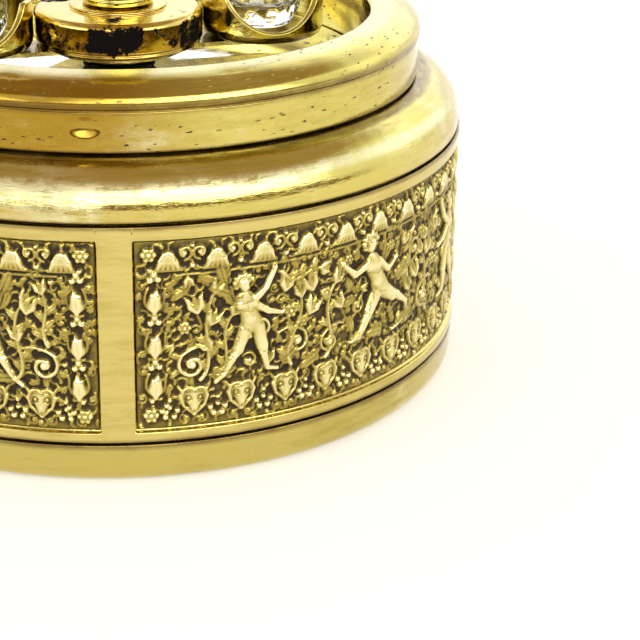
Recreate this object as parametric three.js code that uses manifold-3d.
// Musical carousel: a gilt drum with relief panels holds a spring-driven music
// movement, and a hub turning above a mirrored tray carries two crystal scent
// bottles in gilt cups round a central post. Millimetres, +Z up, origin on the
// table under the post. Azimuths run from the front (-Y) towards +X.
import * as THREE from 'three';
import { mergeVertices } from 'three/addons/utils/BufferGeometryUtils.js';
import Module from 'manifold-3d';

const wasm = await Module();
wasm.setup();

// ---- Clearances and facet counts -----------------------------------------
const seam = 0.4; // joint line that shows between two case pieces
const gap = 0.3; // between pieces that touch, and round each shaft
const caseSides = 36;
const turnedSides = 20;
const smallSides = 10;

// ---- Rotor: post, hub, carrier and cups ----------------------------------
const spindleRadius = 2;
const postRadius = 6.5;
const postWall = 0.9;
const postHeight = 51;
const hubRadius = 15.5;
const hubHeight = 6.6;
const hubEdge = 0.9;
const collarRadius = 8.9;
const collarHeight = 0.6;
const spigotHeight = 5;
const neckRadius = 6.7;
const neckHeight = 2.8;
const carrierThickness = 0.8;
const carrierWidth = 9;
const cupRadius = 11.5;
const cupHeight = 9.4;
const cupWall = 1.1;
const cupFootEdge = 1.2;
const scoopRadius = 9.6;
const scoopLipHeight = 2.4;
const cupAzimuth = 102;
const finialSpigot = 6;
const finialHeight = 32;
const finialFlangeRadius = 8.2;
// Urn and bud above the flange: [radius, height above the flange's underside].
const finialOutline = [
  [finialFlangeRadius, 0], [finialFlangeRadius, 1.8], [5.6, 3], [4, 5.5], [5.5, 8.5],
  [8.6, 12.5], [9.4, 16.5], [8.2, 20.5], [4.5, 23.5], [3, 25], [3.6, 27.5],
  [2.4, finialHeight - 1.5], [0, finialHeight],
];

// ---- Bottles ---------------------------------------------------------------
const bottleRadius = 7.4;
const bottleHeight = 38;
const bottleWall = 1.8;
const bottleFloor = 4;
const bottleHeel = 4; // height of the rounded bottom
const bottleShoulder = 5;
const bottleSides = 16;
const bottleNeckRadius = 3;
const bottleNeckHeight = 6;
const mouthRadius = 2.2;
const collarWall = 1;
const stopperRadius = 5.2;
const stopperHeight = 14;
const plugLength = 7;

// ---- Tray and gallery ring ---------------------------------------------------
const trayMargin = 7.2; // from the cups' path to the ring
const ringWidth = 9.2;
const bandHeight = 7.55;
const rollRise = 4.25;
const rollBulge = 0.5;
const rollUndercut = 1.4;
const rollLip = 1.6;
const sheet = 1;
const mirrorThickness = 0.8;
const dimpleDepth = 0.6;
const dimpleWidth = 5;
const dimpleHeight = 3.6;
const dimpleAzimuth = -4.6;

// ---- Case ----------------------------------------------------------------
const lidOverhang = 8.3;
const lidRise = 8.8;
const lidFoot = 1.1;
const lidWall = 1.2;
const lidSkirtDepth = 3.5;
const lidCollarHeight = 3.4;
const drumHeight = 38.2;
const drumWall = 2.7;
const recessDepth = 1.5;
const panelThickness = 1.5;
const pilasterWidth = 6;
const borderTop = 2.6;
const borderBottom = 2;
const rimHeight = 7.4;
const rimEdge = 3.6;
const rimWall = 1.6;
const rimFoot = 2.6;
const rimSpigotHeight = 3.8;
const spigotWall = 1.1;
const lipWidth = 6;
const lipThickness = 1.4;
const basePlateThickness = 1.5;
const feltThickness = 0.8;
const feltHoleRadius = 16;
const bushWall = 0.7;
const bushFlange = 2;
const bushFlangeThickness = 1.4;

// ---- Movement ------------------------------------------------------------
const bedThickness = 2;
const bedFront = -24;
const bedBack = 23.5;
const barrelRadius = 12.5;
const barrelHeight = 11.5;
const crownTeeth = 32;
const crownRadius = 11.2; // middle of the face teeth
const crownFace = 2.4;
const toothHeight = 1;
const toothPitchHeight = 0.75; // of the face teeth, above the barrel
const pinionTeeth = 8;
const pinionLength = 2;
const cylinderRadius = 6.5;
const cylinderLength = 19;
const pinHeight = 0.5;
const pinWidth = 0.4;
const pinsPerTrack = [0, 0.37]; // shares of a turn
const trackAdvance = 0.381966; // of a turn, from one track to the next
const tracks = 18;
const combLength = 15.6;
const combToothLength = 10;
const combThickness = 1;
const combScrewLength = 6.5;
const gearModule = 0.5;
const wheelTeeth = 30;
const governorTeeth = 10;
const wormWheelTeeth = 16;
const wormRadius = 1.6; // pitch radius
const wormCore = 1.15;
const wormCrest = 0.2; // thread above the pitch radius
const threadRootWidth = 0.8;
const threadCrestWidth = 0.28;
const gearThickness = 1.5;
const bracketThickness = 1.2;
const arborRadius = 0.9;
const fanRadius = 4.6;
const fanHeight = 6;
const brakeDiscRadius = 3;
const brakeDiscThickness = 1;
const bladeThickness = 0.6;
const earHalfWidth = 2.2;
const stopTravel = 4;
const leverWidth = 2;
const fingerLength = 4;
const stopPinRadius = 1.2;
const stopKnobRadius = 2.4;
const stopKnobBottom = 1.4;
const stopKnobHeight = 3;
const slotMargin = 0.5;
const keyRadius = 9;
const keyArborRadius = 1.6;
const keyMiddle = 4; // height of the wings' middle
const keyWing = 2.6; // half the wings' height, and the boss's radius
const keyWingThickness = 1.6;
const keyBossHeight = 4.8;
const screwRadius = 0.9;
const screwHeadRadius = 1.8;
const screwHeadHeight = 1.2;
const screwSlot = 0.5;
const baseScrewHead = 1.6;
const baseScrewHeadHeight = 1.1;

// ---- Places worked out from the sizes --------------------------------------
const cupCircle = hubRadius + gap + cupRadius;
const trayRadius = cupCircle + cupRadius + trayMargin;
const galleryRadius = trayRadius + ringWidth;
const drumRadius = galleryRadius + lidOverhang;
const drumInside = drumRadius - drumWall;
const spigotRadius = drumInside - gap;
const basePlateRadius = spigotRadius - spigotWall - gap;
const lipRadius = spigotRadius - spigotWall - lipWidth;

const drumBottom = rimHeight + seam;
const drumTop = drumBottom + drumHeight;
const lidBottom = drumTop + seam;
const lidTop = lidBottom + lidRise;
const ringBottom = lidTop + seam;
const bandTop = ringBottom + bandHeight;
const crestTop = bandTop + rollRise;
const mirrorTop = lidTop + gap + mirrorThickness;
const neckBottom = mirrorTop + gap;
const hubBottom = neckBottom + neckHeight + gap;
const hubTop = hubBottom + hubHeight;
const postBottom = hubTop + collarHeight + gap;
const postTop = postBottom + postHeight;
const finialBottom = postTop + gap;
const spindleTop = finialBottom + 3;
const cupSeat = hubBottom + cupWall;
const bottleBottom = cupSeat + gap;

const basePlateBottom = rimHeight + gap;
const bedBottom = basePlateBottom + basePlateThickness + gap;
const bedTop = bedBottom + bedThickness;
const standing = bedTop + gap; // foot of each piece that stands on the bed plate
const barrelBottom = standing + 0.1;
const barrelTop = barrelBottom + barrelHeight;
const pinionRadius = (crownRadius * pinionTeeth) / crownTeeth;
const cylinderAxis = barrelTop + toothPitchHeight + pinionRadius;
const innerBracket = barrelRadius + 0.4;
const cylinderStart = innerBracket + bracketThickness + 0.5;
const cylinderEnd = cylinderStart + cylinderLength;
const wheelStart = cylinderEnd + 1;
const outerBracket = wheelStart + gearThickness + 0.9;
const wormWheelStart = outerBracket + bracketThickness + 0.4;
const wormX = wormWheelStart + gearThickness / 2;
const governorY = (gearModule * (wheelTeeth + governorTeeth)) / 2;
const wormWheelRadius = (gearModule * wormWheelTeeth) / 2;
const wormY = governorY + wormWheelRadius + wormRadius;
const wormLead = Math.PI * gearModule;
const frameBack = wormY + fanRadius + 0.7;
const sideLeg = wormX + wormRadius + 1;
const bedEnd = sideLeg + bracketThickness + 1.5;
const bedStart = -barrelRadius - 1.5;
const lowerEar = cylinderAxis - 8;
const brakeDisc = cylinderAxis + 6;
const fanBottom = brakeDisc + 2;
const upperEar = fanBottom + fanHeight + 1;
const combFront = -(cylinderRadius + pinHeight + 0.4);
const combRoot = combFront - combToothLength;
const combBack = combFront - combLength;
const stopX = wormX - brakeDiscRadius - gap - stopTravel - fingerLength;

// ---- Solids and meshes -----------------------------------------------------
function toSolid(geometry) {
  const bare = geometry.clone();
  bare.deleteAttribute('normal');
  bare.deleteAttribute('uv');
  const merged = mergeVertices(bare, 1e-4);
  const corners = [];
  const index = merged.index.array;
  for (let i = 0; i < index.length; i += 3) {
    const [a, b, c] = index.slice(i, i + 3);
    if (a !== b && b !== c && c !== a) corners.push(a, b, c);
  }
  return new wasm.Manifold(new wasm.Mesh({
    numProp: 3,
    vertProperties: merged.attributes.position.array,
    triVerts: Uint32Array.from(corners),
  }));
}

function toGeometry(solid) {
  const { vertProperties, triVerts } = solid.getMesh();
  const geometry = new THREE.BufferGeometry();
  geometry.setAttribute('position', new THREE.BufferAttribute(vertProperties, 3));
  geometry.setIndex(new THREE.BufferAttribute(triVerts, 1));
  geometry.computeVertexNormals();
  return geometry;
}

function join(...geometries) {
  return toGeometry(geometries.map(toSolid).reduce((a, b) => a.add(b)));
}

function cut(geometry, ...tools) {
  return toGeometry(tools.map(toSolid).reduce((a, b) => a.subtract(b), toSolid(geometry)));
}

// ---- Shapes ----------------------------------------------------------------
const radians = THREE.MathUtils.degToRad;

function around(azimuth, radius) {
  return [radius * Math.sin(radians(azimuth)), -radius * Math.cos(radians(azimuth))];
}

// A closed outline of [radius, height] points, anticlockwise, spun about Z.
function turned(outline, sides = turnedSides) {
  const points = outline.map(([r, z]) => new THREE.Vector2(r, z));
  if (outline[0][0] > 0) points.push(points[0].clone());
  return new THREE.LatheGeometry(points, sides).rotateX(Math.PI / 2);
}

function tube(inside, outside, bottom, top, sides) {
  return turned([[inside, bottom], [outside, bottom], [outside, top], [inside, top]], sides);
}

function rod(radius, bottom, top, sides = smallSides) {
  return turned([[0, bottom], [radius, bottom], [radius, top], [0, top]], sides);
}

function rodAlongX(radius, start, end, y, z) {
  return rod(radius, start, end).rotateY(Math.PI / 2).translate(0, y, z);
}

function block(x0, x1, y0, y1, z0, z1) {
  return new THREE.BoxGeometry(x1 - x0, y1 - y0, z1 - z0)
    .translate((x0 + x1) / 2, (y0 + y1) / 2, (z0 + z1) / 2);
}

function extruded(points, bottom, top, holes = []) {
  const shape = new THREE.Shape(points.map(([x, y]) => new THREE.Vector2(x, y)));
  for (const [x, y, radius] of holes) {
    shape.holes.push(new THREE.Path().absarc(x, y, radius, 0, 2 * Math.PI));
  }
  const options = { depth: top - bottom, bevelEnabled: false, curveSegments: smallSides / 2 };
  return new THREE.ExtrudeGeometry(shape, options).translate(0, 0, bottom);
}

// Points of an ellipse in the [radius, height] plane.
function curve(r, z, a, b, from, to, steps) {
  return Array.from({ length: steps + 1 }, (_, i) => {
    const t = radians(from + ((to - from) * i) / steps);
    return [r + a * Math.cos(t), z + b * Math.sin(t)];
  });
}

// A curved block between two radii and two azimuths.
function sector(inside, outside, from, to, bottom, top) {
  const steps = 9;
  const angles = Array.from({ length: steps + 1 }, (_, i) => from + ((to - from) * i) / steps);
  const outer = angles.map((a) => around(a, outside));
  const inner = angles.toReversed().map((a) => around(a, inside));
  return extruded([...outer, ...inner], bottom, top);
}

function gear(teeth, pitch, thickness, turn, bore) {
  const points = [];
  for (let i = 0; i < teeth; i++) {
    const middle = turn + (2 * Math.PI * i) / teeth;
    const half = Math.PI / teeth;
    for (const [share, r] of [[-0.56, -1.15], [-0.2, 0.8], [0.2, 0.8], [0.56, -1.15]]) {
      const radius = pitch + (r * pitch) / teeth;
      points.push([radius * Math.cos(middle + share * half), radius * Math.sin(middle + share * half)]);
    }
  }
  return extruded(points, 0, thickness, bore ? [[0, 0, bore]] : []);
}

// A gear on an arbor along X: its first tooth points down.
function gearAlongX(teeth, pitch, start, thickness, y, turn, bore) {
  return gear(teeth, pitch, thickness, turn, bore)
    .rotateY(Math.PI / 2)
    .translate(start, y, cylinderAxis);
}

function screw(headRadius, headHeight, length) {
  const shank = [[0, -length], [screwRadius, -length], [screwRadius, 0]];
  const head = [[headRadius, 0], [headRadius, headHeight], [0, headHeight]];
  const half = screwSlot / 2;
  const slot = block(-headRadius, headRadius, -half, half, headHeight * 0.5, headHeight + 1);
  return cut(turned([...shank, ...head], smallSides), slot);
}

// ---- Assembly ----------------------------------------------------------------
const looks = {
  brass: { color: 0xd8c46c, roughness: 0.25, metalness: 1 },
  relief: { color: 0xb9a55a, roughness: 0.45, metalness: 1 },
  steel: { color: 0xb8bcc0, roughness: 0.35, metalness: 1 },
  rubber: { color: 0x15130f, roughness: 0.8, metalness: 0 },
  mirror: { color: 0xe4e6e4, roughness: 0.05, metalness: 1 },
  felt: { color: 0x4a1a22, roughness: 1, metalness: 0 },
  crystal: { color: 0xeef3f2, roughness: 0.05, metalness: 0 },
};

const carouselMusicBox = new THREE.Group();

function place(name, look, geometry) {
  const solid = toGeometry(toSolid(geometry));
  const mesh = new THREE.Mesh(solid, new THREE.MeshStandardMaterial(looks[look]));
  mesh.name = name;
  carouselMusicBox.add(mesh);
  return mesh;
}

// ---- Case --------------------------------------------------------------------
const screwCircle = lipRadius + baseScrewHead + 0.4;
const baseScrews = [45, 135, 225, 315].map((azimuth) => around(azimuth, screwCircle));
const bedScrews = [
  [bedStart + 4, bedFront + 4],
  [bedStart + 4, bedBack - 4],
  [bedEnd - 4, bedFront + 4],
];
const stopSlotHalf = stopPinRadius + slotMargin;
const stopSlotStart = stopX - stopSlotHalf;
const stopSlotEnd = stopX + stopTravel + stopSlotHalf;

function screwHoles(places, bottom, top) {
  return places.map(([x, y]) => rod(screwRadius + gap, bottom, top).translate(x, y, 0));
}

function stopSlot(bottom, top) {
  return block(
    stopSlotStart, stopSlotEnd, wormY - stopSlotHalf, wormY + stopSlotHalf, bottom, top,
  );
}

function bottomRim() {
  const outside = drumRadius - 0.1;
  const footOutside = outside - rimEdge;
  const outline = [
    [footOutside - rimFoot, 0],
    ...curve(footOutside, rimEdge, rimEdge, rimEdge, -90, 0, 3),
    [outside, rimHeight],
    [spigotRadius, rimHeight],
    [spigotRadius, rimHeight + rimSpigotHeight],
    [spigotRadius - spigotWall, rimHeight + rimSpigotHeight],
    [spigotRadius - spigotWall, rimHeight],
    [lipRadius, rimHeight],
    [lipRadius, rimHeight - lipThickness],
    [outside - rimWall, rimHeight - lipThickness],
    [outside - rimWall, rimEdge],
    [footOutside, rimWall],
    [footOutside - rimFoot, rimWall],
  ];
  return cut(turned(outline, caseSides), ...screwHoles(baseScrews, 1, rimHeight + 1));
}

function basePlate() {
  const top = basePlateBottom + basePlateThickness;
  const plate = tube(keyArborRadius + 0.5, basePlateRadius, basePlateBottom, top, caseSides);
  const holes = screwHoles([...baseScrews, ...bedScrews], basePlateBottom - 1, top + 1);
  return cut(plate, ...holes, stopSlot(basePlateBottom - 1, top + 1));
}

function undersideFelt() {
  const top = basePlateBottom - gap;
  const felt = tube(feltHoleRadius, lipRadius - gap, top - feltThickness, top, caseSides);
  return cut(felt, stopSlot(top - feltThickness - 1, top + 1));
}

const halfPilaster = THREE.MathUtils.radToDeg(pilasterWidth / 2 / drumRadius);
const panelGap = THREE.MathUtils.radToDeg(gap / drumRadius);
const quarters = [0, 90, 180, 270];

function drumShell() {
  const shell = tube(drumInside, drumRadius, drumBottom, drumTop, caseSides);
  const recesses = quarters.map((start) => sector(
    drumRadius - recessDepth, drumRadius + 2,
    start + halfPilaster, start + 90 - halfPilaster,
    drumBottom + borderBottom, drumTop - borderTop,
  ));
  return cut(shell, ...recesses);
}

function reliefPanel(start) {
  const inside = drumRadius - recessDepth + gap;
  const edge = halfPilaster + panelGap;
  return sector(
    inside, inside + panelThickness, start + edge, start + 90 - edge,
    drumBottom + borderBottom + gap, drumTop - borderTop - gap,
  );
}

function lid() {
  const shoulder = galleryRadius + 0.2;
  const reach = drumRadius - 0.3 - shoulder;
  const curveBottom = lidBottom + lidFoot;
  const rise = lidTop - curveBottom;
  const collarOutside = galleryRadius - sheet - gap;
  const hole = spindleRadius + gap + bushWall + gap;
  const outline = [
    [hole, lidTop - lidWall],
    ...curve(shoulder, curveBottom, reach - lidWall, rise - lidWall, 90, 0, 3),
    [spigotRadius - spigotWall, curveBottom],
    [spigotRadius - spigotWall, lidBottom - lidSkirtDepth],
    [spigotRadius, lidBottom - lidSkirtDepth],
    [spigotRadius, lidBottom],
    [shoulder + reach, lidBottom],
    ...curve(shoulder, curveBottom, reach, rise, 0, 90, 5),
    [collarOutside, lidTop],
    [collarOutside, lidTop + lidCollarHeight],
    [collarOutside - sheet, lidTop + lidCollarHeight],
    [collarOutside - sheet, lidTop],
    [hole, lidTop],
  ];
  return turned(outline, caseSides);
}

place('bottom_rim', 'brass', bottomRim());
place('base_plate', 'steel', basePlate());
place('underside_felt', 'felt', undersideFelt());
baseScrews.forEach(([x, y], i) => {
  const length = basePlateThickness + lipThickness + 2 * gap;
  const turnedOver = screw(baseScrewHead, baseScrewHeadHeight, length).rotateX(Math.PI);
  const underLip = rimHeight - lipThickness - gap;
  place(`base_screw_${i + 1}`, 'steel', turnedOver.translate(x, y, underLip));
});
place('drum_shell', 'brass', drumShell());
quarters.forEach((start, i) => place(`relief_panel_${i + 1}`, 'relief', reliefPanel(start)));
place('lid', 'brass', lid());

// ---- Tray ----------------------------------------------------------------------
function galleryRing() {
  const bulge = galleryRadius + rollBulge;
  const crestRadius = trayRadius + rollLip;
  const rollBottom = bandTop + rollUndercut;
  const rollWidth = bulge - crestRadius;
  const rollHeight = crestTop - rollBottom;
  const outline = [
    [galleryRadius - sheet, ringBottom],
    [galleryRadius, ringBottom],
    [galleryRadius, bandTop],
    ...curve(crestRadius, rollBottom, rollWidth, rollHeight, 0, 90, 4),
    ...curve(crestRadius, crestTop - rollLip, rollLip, rollLip, 135, 180, 1),
    [trayRadius, ringBottom],
    [trayRadius + sheet, ringBottom],
    [trayRadius + sheet, crestTop - rollLip],
    ...curve(crestRadius, rollBottom, rollWidth - sheet, rollHeight - sheet, 90, 0, 2),
    [galleryRadius - sheet, bandTop],
  ];
  const depthOfBall = dimpleWidth / 2;
  const dimples = quarters.map((start) => {
    const [x, y] = around(start + dimpleAzimuth, galleryRadius + depthOfBall - dimpleDepth);
    return new THREE.SphereGeometry(1, smallSides, 8)
      .scale(dimpleWidth * 0.6, depthOfBall, dimpleHeight * 0.6)
      .rotateZ(radians(start + dimpleAzimuth))
      .translate(x, y, ringBottom + bandHeight * 0.6);
  });
  return cut(turned(outline, caseSides), ...dimples);
}

const bushRadius = spindleRadius + gap + bushWall;

function spindleBush() {
  const bore = spindleRadius + gap;
  const flangeTop = lidTop - lidWall - gap;
  return turned([
    [bore, flangeTop - bushFlangeThickness],
    [bushRadius + bushFlange, flangeTop - bushFlangeThickness],
    [bushRadius + bushFlange, flangeTop],
    [bushRadius, flangeTop],
    [bushRadius, mirrorTop - gap],
    [bore, mirrorTop - gap],
  ], smallSides);
}

place('gallery_ring', 'brass', galleryRing());
place('mirror_floor', 'mirror',
  tube(bushRadius + gap, trayRadius - 0.4, lidTop + gap, mirrorTop, caseSides));
place('spindle_bush', 'brass', spindleBush());

// ---- Rotor -----------------------------------------------------------------------
const tubeInside = postRadius - postWall;
const cupPlaces = [cupAzimuth, cupAzimuth + 180];

function hub() {
  const bore = spindleRadius + gap;
  return turned([
    [bore, hubBottom],
    [hubRadius - hubEdge / 2, hubBottom],
    [hubRadius, hubBottom + hubEdge / 2],
    ...curve(hubRadius - hubEdge, hubTop - hubEdge, hubEdge, hubEdge, 0, 90, 2),
    [collarRadius, hubTop],
    [collarRadius, hubTop + collarHeight],
    [tubeInside - gap, hubTop + collarHeight],
    [tubeInside - gap, hubTop + collarHeight + spigotHeight],
    [bore, hubTop + collarHeight + spigotHeight],
  ]);
}

function carrier() {
  const top = hubBottom - gap;
  const bottom = top - carrierThickness;
  const ring = tube(neckRadius + gap, hubRadius - 3, bottom, top);
  const clear = rod(neckRadius + gap, bottom - 1, top + 1, turnedSides);
  const reach = cupCircle + cupRadius / 2;
  const bar = block(-reach, reach, -carrierWidth / 2, carrierWidth / 2, bottom, top);
  return join(ring, cut(bar, clear)).rotateZ(radians(cupAzimuth - 90));
}

function cup(azimuth) {
  const top = hubBottom + cupHeight;
  const bowl = turned([
    [0, hubBottom],
    [cupRadius - cupFootEdge, hubBottom],
    [cupRadius, hubBottom + cupFootEdge],
    [cupRadius, top],
    [cupRadius - cupWall, top],
    [cupRadius - cupWall - 1, hubBottom + cupHeight / 2],
    [bottleRadius + 2 * gap, cupSeat],
    [0, cupSeat],
  ]);
  const scoop = new THREE.CylinderGeometry(scoopRadius, scoopRadius, 4 * cupRadius, turnedSides)
    .translate(0, 0, hubBottom + scoopLipHeight + scoopRadius);
  const [x, y] = around(azimuth, cupCircle);
  return cut(bowl, scoop).rotateZ(radians(azimuth - 90)).translate(x, y, 0);
}

function finial() {
  const bore = spindleRadius + gap;
  const z = finialBottom;
  return turned([
    [bore, z - finialSpigot],
    [tubeInside - gap, z - finialSpigot],
    [tubeInside - gap, z],
    ...finialOutline.map(([radius, height]) => [radius, z + height]),
    [0, spindleTop + gap],
    [bore, spindleTop + gap],
  ]);
}

const socketDepth = 5;
const spindleBottom = barrelTop - socketDepth + gap;
place('drive_spindle', 'steel', rod(spindleRadius, spindleBottom, spindleTop));
place('neck_washer', 'rubber',
  tube(spindleRadius + gap, neckRadius, neckBottom, neckBottom + neckHeight));
place('carrier_strap', 'brass', carrier());
place('hub', 'brass', hub());
place('post_tube', 'brass', tube(tubeInside, postRadius, postBottom, postTop));
cupPlaces.forEach((azimuth, i) => place(`cup_${i + 1}`, 'brass', cup(azimuth)));
place('finial', 'brass', finial());

// ---- Bottles ---------------------------------------------------------------------
const shoulderTop = bottleBottom + bottleHeight;
const mouth = shoulderTop + bottleNeckHeight;

function bottle() {
  const inside = bottleRadius - bottleWall;
  return turned([
    [0, bottleBottom],
    [bottleRadius * 0.5, bottleBottom],
    [bottleRadius * 0.87, bottleBottom + bottleHeel * 0.35],
    [bottleRadius, bottleBottom + bottleHeel],
    [bottleRadius, shoulderTop - bottleShoulder],
    [bottleRadius - 1, shoulderTop - bottleShoulder * 0.4],
    [bottleNeckRadius, shoulderTop],
    [bottleNeckRadius, mouth],
    [mouthRadius, mouth],
    [mouthRadius, shoulderTop],
    [inside, shoulderTop - bottleShoulder],
    [inside, bottleBottom + bottleFloor],
    [0, bottleBottom + bottleFloor],
  ], bottleSides);
}

function stopper() {
  const seat = mouth + gap;
  return turned([
    [0, seat - plugLength],
    [mouthRadius - gap, seat - plugLength],
    [mouthRadius - gap, seat],
    [bottleNeckRadius + 0.6, seat],
    [bottleNeckRadius + 0.6, seat + 0.8],
    [stopperRadius * 0.45, seat + 1.4],
    [stopperRadius * 0.9, seat + stopperHeight * 0.36],
    [stopperRadius, seat + stopperHeight * 0.55],
    [stopperRadius * 0.8, seat + stopperHeight * 0.78],
    [0, seat + stopperHeight],
  ], smallSides);
}

cupPlaces.forEach((azimuth, i) => {
  const [x, y] = around(azimuth, cupCircle);
  const collarInside = bottleNeckRadius + gap;
  const collar = tube(
    collarInside, collarInside + collarWall, shoulderTop + 0.5, mouth - 1, bottleSides,
  );
  place(`bottle_${i + 1}`, 'crystal', bottle().translate(x, y, 0));
  place(`bottle_collar_${i + 1}`, 'brass', collar.translate(x, y, 0));
  place(`stopper_${i + 1}`, 'crystal', stopper().translate(x, y, 0));
});

// ---- Movement: bed, barrel and key --------------------------------------------------
function bedPlate() {
  const plate = block(bedStart, bedEnd, bedFront, bedBack, bedBottom, bedTop);
  const arborHole = rod(keyArborRadius + 0.5, bedBottom - 1, bedTop + 1);
  const holes = screwHoles(bedScrews, bedBottom - 1, bedTop + 1);
  return cut(plate, arborHole, ...holes, stopSlot(bedBottom - 1, bedTop + 1));
}

function crownTooth(index) {
  const profile = [[-0.4, -0.5], [0.4, -0.5], [0.24, toothHeight], [-0.24, toothHeight]];
  const lie = new THREE.Matrix4().makeBasis(
    new THREE.Vector3(0, 1, 0), new THREE.Vector3(0, 0, 1), new THREE.Vector3(1, 0, 0),
  );
  return extruded(profile, crownRadius - crownFace / 2, crownRadius + crownFace / 2)
    .applyMatrix4(lie)
    .translate(0, 0, barrelTop)
    .rotateZ((2 * Math.PI * (index + 0.5)) / crownTeeth);
}

function springBarrel() {
  const drum = rod(barrelRadius, barrelBottom, barrelTop, crownTeeth);
  const socket = rod(spindleRadius + gap, barrelTop - socketDepth, barrelTop + 1);
  const arborHole = rod(keyArborRadius + 0.4, barrelBottom - 1, spindleBottom - gap - 1);
  const teeth = Array.from({ length: crownTeeth }, (_, i) => crownTooth(i));
  return cut(join(drum, ...teeth), socket, arborHole);
}

function windingKey() {
  const wing = new THREE.Shape();
  wing.absellipse(keyRadius * 0.58, 0, keyRadius * 0.42, keyWing, 0, 2 * Math.PI);
  wing.holes.push(new THREE.Path().absellipse(keyRadius * 0.62, 0, 1.5, 1.1, 0, 2 * Math.PI));
  const wings = [0, Math.PI].map((turn) => new THREE.ExtrudeGeometry(
    wing, { depth: keyWingThickness, bevelEnabled: false, curveSegments: 8 },
  ).translate(0, 0, -keyWingThickness / 2)
    .rotateX(Math.PI / 2)
    .rotateZ(turn)
    .translate(0, 0, keyMiddle));
  const boss = rod(keyWing, keyMiddle - keyBossHeight / 2, keyMiddle + keyBossHeight / 2);
  const arbor = rod(keyArborRadius, keyMiddle, spindleBottom - gap - 1.6);
  return join(boss, arbor, ...wings);
}

place('bed_plate', 'brass', bedPlate());
bedScrews.forEach(([x, y], i) => {
  const length = bedThickness + basePlateThickness + gap;
  const bedScrew = screw(screwHeadRadius, screwHeadHeight, length);
  place(`bed_screw_${i + 1}`, 'steel', bedScrew.translate(x, y, bedTop + gap));
});
place('spring_barrel', 'steel', springBarrel());
place('winding_key', 'steel', windingKey());

// ---- Movement: cylinder and comb ------------------------------------------------------
const trackPitch = (cylinderLength - 2) / tracks;
const trackX = (track) => cylinderStart + 1 + trackPitch * (track + 0.5);

function pinnedCylinder() {
  const bore = arborRadius + gap;
  const sleeve = tube(bore, cylinderRadius, cylinderStart, cylinderEnd, turnedSides)
    .rotateY(Math.PI / 2)
    .translate(0, 0, cylinderAxis);
  const pins = [];
  for (let track = 0; track < tracks; track++) {
    for (const share of pinsPerTrack) {
      const half = pinWidth / 2;
      const pin = block(-half, half, -half, half, cylinderRadius - 0.4, cylinderRadius + pinHeight)
        .rotateX(2 * Math.PI * (share + track * trackAdvance))
        .translate(trackX(track), 0, cylinderAxis);
      pins.push(pin);
    }
  }
  return join(sleeve, ...pins);
}

function comb() {
  const outline = [[cylinderEnd, combBack], [cylinderEnd, combRoot]];
  for (let track = tracks - 1; track >= 0; track--) {
    const x = trackX(track);
    const root = trackPitch * 0.36;
    const tip = trackPitch * 0.2;
    outline.push([x + root, combRoot], [x + tip, combFront]);
    outline.push([x - tip, combFront], [x - root, combRoot]);
  }
  outline.push([cylinderStart, combRoot], [cylinderStart, combBack]);
  const holes = combScrews.map(([x, y]) => [x, y, screwRadius + gap]);
  const middle = cylinderAxis;
  return extruded(outline, middle - combThickness / 2, middle + combThickness / 2, holes);
}

const combScrewY = (combRoot + combBack) / 2;
const combScrews = [0.22, 0.78].map((share) => [cylinderStart + share * cylinderLength, combScrewY]);
const combUnderside = cylinderAxis - combThickness / 2 - gap;
const combBlock = block(
  cylinderStart, cylinderEnd, combBack, combRoot - 0.6, standing, combUnderside,
);
const arborHoleAt = (x, y) => rodAlongX(arborRadius + gap, x - 1, x + 3, y, cylinderAxis);
const bracketTop = cylinderAxis + 3;

place('cylinder_arbor', 'steel',
  rodAlongX(arborRadius, innerBracket - 3.2, outerBracket + bracketThickness, 0, cylinderAxis));
place('pinned_cylinder', 'brass', pinnedCylinder());
place('cylinder_pinion', 'brass', gearAlongX(
  pinionTeeth, pinionRadius, crownRadius - pinionLength / 2, pinionLength, 0, 0, arborRadius + gap,
));
place('cylinder_wheel', 'brass', gearAlongX(
  wheelTeeth, (gearModule * wheelTeeth) / 2, wheelStart, gearThickness, 0, 0, arborRadius + gap,
));
place('comb_block', 'brass', cut(combBlock, ...screwHoles(combScrews, combUnderside - 7, combUnderside + 1)));
place('comb', 'steel', comb());
combScrews.forEach(([x, y], i) => {
  const top = cylinderAxis + combThickness / 2 + gap;
  const combScrew = screw(screwHeadRadius, screwHeadHeight, combScrewLength);
  place(`comb_screw_${i + 1}`, 'steel', combScrew.translate(x, y, top));
});
place('inner_bracket', 'brass', cut(
  block(innerBracket, innerBracket + bracketThickness, -4, 4, standing, bracketTop),
  arborHoleAt(innerBracket, 0),
));
place('outer_bracket', 'brass', cut(
  block(outerBracket, outerBracket + bracketThickness, -4, governorY + 3, standing, bracketTop),
  arborHoleAt(outerBracket, 0),
  arborHoleAt(outerBracket, governorY),
));

// ---- Movement: governor and stop lever -------------------------------------------------
const wormTop = cylinderAxis + 3.4;
const wormBottom = cylinderAxis - 3.4;
const pivotRadius = 0.7;

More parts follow.
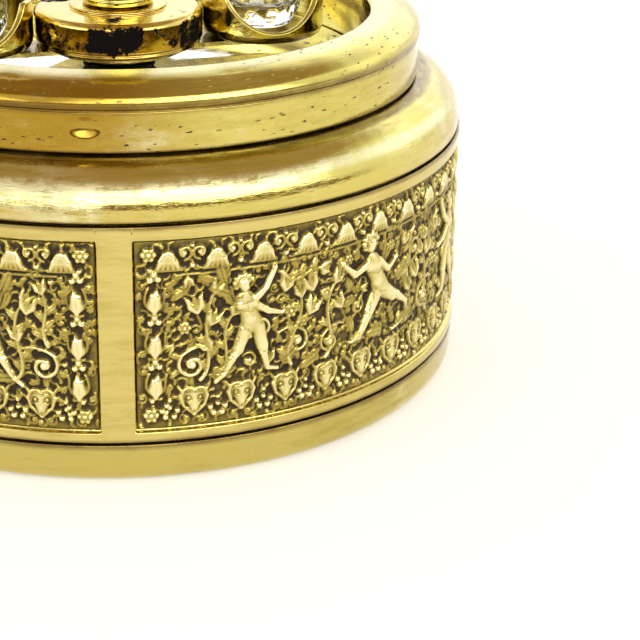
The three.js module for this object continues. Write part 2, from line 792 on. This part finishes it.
// A right-handed thread whose groove faces the worm wheel's middle tooth.
function wormThread() {
  const stepsPerTurn = 10;
  const root = wormCore - 0.2;
  const crest = wormRadius + wormCrest;
  const turns = Math.floor((wormTop - wormBottom) / wormLead) - 0.5;
  const steps = Math.round(turns * stepsPerTurn);
  const wide = threadRootWidth / 2;
  const narrow = threadCrestWidth / 2;
  const corners = [[root, -wide], [crest, -narrow], [crest, narrow], [root, wide]];
  const points = [];
  for (let i = 0; i <= steps; i++) {
    const turn = (i - steps / 2) / stepsPerTurn;
    const angle = 2 * Math.PI * turn - Math.PI / 2;
    const height = cylinderAxis + wormLead * (turn + 0.5);
    for (const [r, dz] of corners) {
      points.push(r * Math.cos(angle), r * Math.sin(angle), height + dz);
    }
  }
  const faces = [];
  for (let i = 0; i < steps; i++) {
    for (let k = 0; k < 4; k++) {
      const a = 4 * i + k;
      const b = 4 * i + ((k + 1) % 4);
      faces.push(a, a + 4, b, b, a + 4, b + 4);
    }
  }
  const last = 4 * steps;
  faces.push(0, 1, 2, 0, 2, 3);
  faces.push(last, last + 2, last + 1, last, last + 3, last + 2);
  const geometry = new THREE.BufferGeometry();
  geometry.setAttribute('position', new THREE.Float32BufferAttribute(points, 3));
  geometry.setIndex(faces);
  return geometry;
}

function governorFan() {
  const shaft = rod(pivotRadius, lowerEar - 0.4, upperEar + bracketThickness + 0.2, 8);
  const core = rod(wormCore, wormBottom, wormTop);
  const disc = rod(brakeDiscRadius, brakeDisc, brakeDisc + brakeDiscThickness);
  const half = bladeThickness / 2;
  const blade = block(-fanRadius, fanRadius, -half, half, fanBottom, fanBottom + fanHeight);
  return join(shaft, core, wormThread(), disc, blade).translate(wormX, wormY, 0);
}

function governorGear() {
  const end = sideLeg + bracketThickness;
  const arbor = rodAlongX(arborRadius, wheelStart - 0.4, end, governorY, cylinderAxis);
  const pinion = gearAlongX(
    governorTeeth, (gearModule * governorTeeth) / 2, wheelStart, gearThickness,
    governorY, Math.PI / governorTeeth,
  );
  const wormWheel = gearAlongX(
    wormWheelTeeth, wormWheelRadius, wormWheelStart, gearThickness, governorY, 0,
  );
  return join(arbor, pinion, wormWheel);
}

function governorFrame() {
  const left = wormX - fanRadius - 1;
  const right = sideLeg + bracketThickness;
  const back = block(left, right, frameBack, frameBack + bracketThickness, standing,
    upperEar + bracketThickness);
  const ears = [lowerEar, upperEar].map((z) => cut(
    block(
      wormX - earHalfWidth, wormX + earHalfWidth,
      wormY - earHalfWidth, frameBack + 0.5, z, z + bracketThickness,
    ),
    rod(pivotRadius + gap, z - 1, z + 3).translate(wormX, wormY, 0),
  ));
  const leg = cut(
    block(sideLeg, right, governorY - 3, frameBack + 0.5, standing, bracketTop),
    arborHoleAt(sideLeg, governorY),
  );
  return join(back, leg, ...ears);
}

function stopLever() {
  const half = leverWidth / 2;
  const top = brakeDisc + brakeDiscThickness;
  const knobTop = stopKnobBottom + stopKnobHeight;
  const bar = block(stopX - half, stopX + half, wormY - half, wormY + half, standing, top);
  const finger = block(
    stopX, stopX + fingerLength, wormY - half, wormY + half, brakeDisc, top,
  );
  const pin = rod(stopPinRadius, knobTop - 1, standing + 1).translate(stopX, wormY, 0);
  const knob = rod(stopKnobRadius, stopKnobBottom, knobTop).translate(stopX, wormY, 0);
  return join(bar, finger, pin, knob);
}

place('governor_gear', 'brass', governorGear());
place('governor_fan', 'steel', governorFan());
place('governor_frame', 'steel', governorFrame());
place('stop_lever', 'steel', stopLever());

export default carouselMusicBox;
